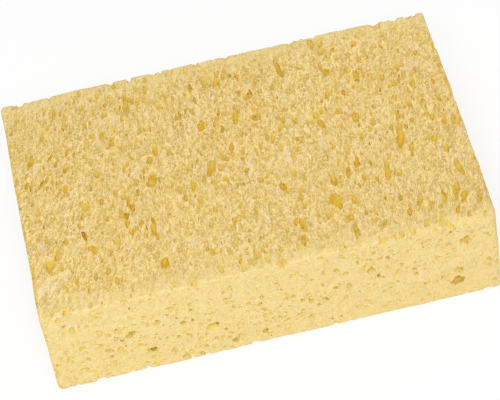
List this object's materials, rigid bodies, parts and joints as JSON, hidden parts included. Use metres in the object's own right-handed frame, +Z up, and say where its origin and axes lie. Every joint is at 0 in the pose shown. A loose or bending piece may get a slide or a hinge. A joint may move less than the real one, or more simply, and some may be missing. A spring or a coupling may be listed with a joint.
{
  "type": "cleaning sponge",
  "caption": "Rectangular block of yellow cellulose sponge with soft edges and open cells drawn out along its width, for wiping and washing.",
  "frame": {"origin": "centre of the bottom of the sponge's bounding box, on the surface that it lies on", "axes": "+X along the length, to the right in the picture; +Y along the width, to the back; +Z up, out of the large top face"},
  "size_m": [0.15, 0.096, 0.038],
  "materials": {
    "sponge": "matte"
  },
  "bodies": {
    "root": {"sponge": "sponge"}
  },
  "joints": []
}
